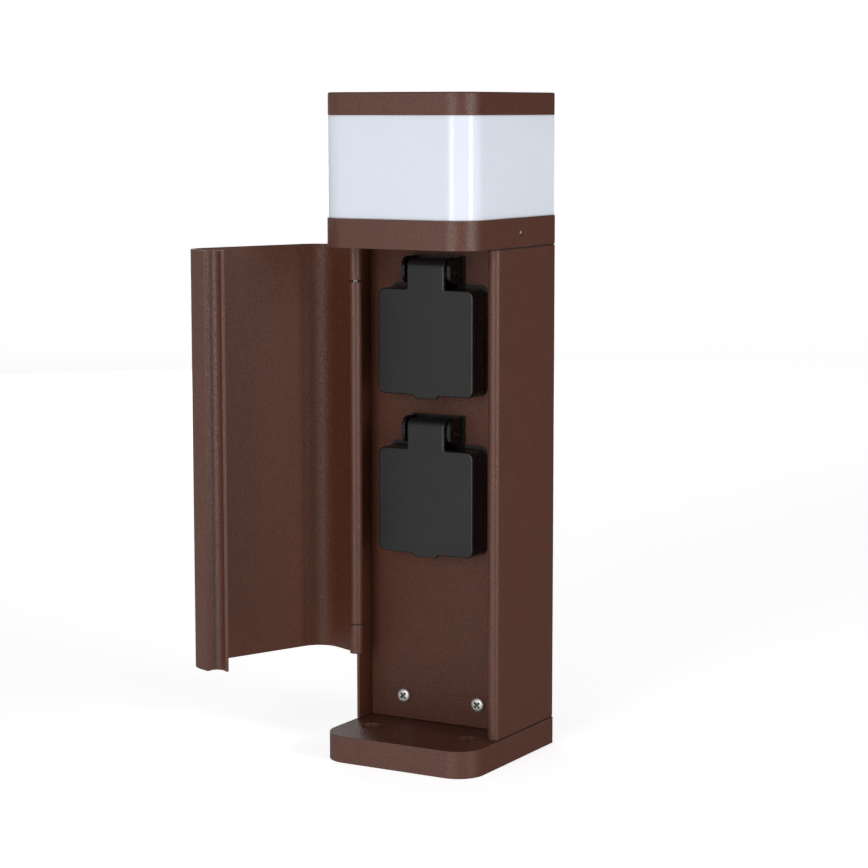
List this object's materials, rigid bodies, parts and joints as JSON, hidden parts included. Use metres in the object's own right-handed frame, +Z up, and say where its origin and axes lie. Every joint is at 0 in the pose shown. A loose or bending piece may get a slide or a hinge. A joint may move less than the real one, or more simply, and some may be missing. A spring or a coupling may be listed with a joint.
{
  "type": "garden lamp post with sockets",
  "caption": "Square garden bollard lamp with an opal head over flap-covered power sockets behind a full-height swinging metal door.",
  "frame": {"origin": "centre of the base's underside, on the ground", "axes": "+Z up along the post, front with the door towards -Y, +X to the right seen from the front"},
  "size_m": [0.168, 0.1572, 0.4],
  "materials": {
    "board": "white solder mask",
    "brass": "rolled brass",
    "clear_seal": "translucent silicone",
    "driver_case": "grey moulded case",
    "lead_sheath": "soft sheath",
    "light_source": "phosphor coated",
    "opal": "opal, satin gloss",
    "powder_coat": "fine textured powder coat",
    "raw_aluminium": "mill finish",
    "rubber": "black rubber",
    "shutter_white": "natural moulding",
    "socket_inner": "black moulded",
    "socket_plastic": "charcoal, fine grained",
    "zinc": "bright zinc"
  },
  "bodies": {
    "post": {"base_plate": "powder_coat", "base_gasket": "rubber", "base_screws": "zinc", "cable_grommet": "rubber", "column_body": "powder_coat", "socket_panel": "powder_coat", "panel_screws": "zinc", "terminal_block": "socket_inner", "socket_leads": "lead_sheath", "lamp_leads": "lead_sheath", "led_driver": "driver_case", "hinge_pins": "zinc", "collar_gasket": "rubber", "head_collar": "powder_coat", "collar_screws": "zinc", "grub_screws": "zinc", "led_board": "board", "led_chips": "light_source", "led_screws": "zinc", "retaining_ring": "raw_aluminium", "lower_diffuser_seal": "clear_seal", "diffuser": "opal", "upper_diffuser_seal": "clear_seal", "top_cap": "powder_coat", "upper_frame_gasket": "rubber", "upper_socket_frame": "socket_plastic", "upper_frame_screws": "zinc", "upper_socket_insert": "socket_inner", "upper_rear_housing": "socket_inner", "upper_pin_contacts": "brass", "upper_earth_clips": "brass", "upper_lid_pin": "zinc", "upper_lid_spring": "zinc", "lower_frame_gasket": "rubber", "lower_socket_frame": "socket_plastic", "lower_frame_screws": "zinc", "lower_socket_insert": "socket_inner", "lower_rear_housing": "socket_inner", "lower_pin_contacts": "brass", "lower_earth_clips": "brass", "lower_lid_pin": "zinc", "lower_lid_spring": "zinc", "hinge_washer": "rubber"},
    "door": {"door": "powder_coat"},
    "upper_lid": {"upper_lid": "socket_plastic", "upper_lid_seal": "rubber"},
    "lower_lid": {"lower_lid": "socket_plastic", "lower_lid_seal": "rubber"},
    "upper_shutter": {"upper_shutter": "shutter_white", "upper_shutter_spring": "zinc"},
    "lower_shutter": {"lower_shutter": "shutter_white", "lower_shutter_spring": "zinc"}
  },
  "joints": [
    {"name": "door_hinge", "type": "hinge", "parent": "post", "child": "door", "pos_m": [-0.0486, -0.0156, 0.183], "axis": [0, 0, 1], "range_deg": [0, 112]},
    {"name": "upper_lid_hinge", "type": "hinge", "parent": "post", "child": "upper_lid", "pos_m": [-0.0012, -0.0062, 0.2935], "axis": [1, 0, 0], "range_deg": [-95, 0], "stiffness_Nm_per_rad": 0.004, "springref_deg": 34.38},
    {"name": "lower_lid_hinge", "type": "hinge", "parent": "post", "child": "lower_lid", "pos_m": [-0.0012, -0.0062, 0.1973], "axis": [1, 0, 0], "range_deg": [-95, 0], "stiffness_Nm_per_rad": 0.004, "springref_deg": 34.38},
    {"name": "upper_shutter_turn", "type": "hinge", "parent": "post", "child": "upper_shutter", "pos_m": [-0.0012, 0.0145, 0.2521], "axis": [0, -1, 0], "range_deg": [0, 42], "stiffness_Nm_per_rad": 0.001, "springref_deg": -17.19},
    {"name": "lower_shutter_turn", "type": "hinge", "parent": "post", "child": "lower_shutter", "pos_m": [-0.0012, 0.0145, 0.1559], "axis": [0, -1, 0], "range_deg": [0, 42], "stiffness_Nm_per_rad": 0.001, "springref_deg": -17.19}
  ]
}
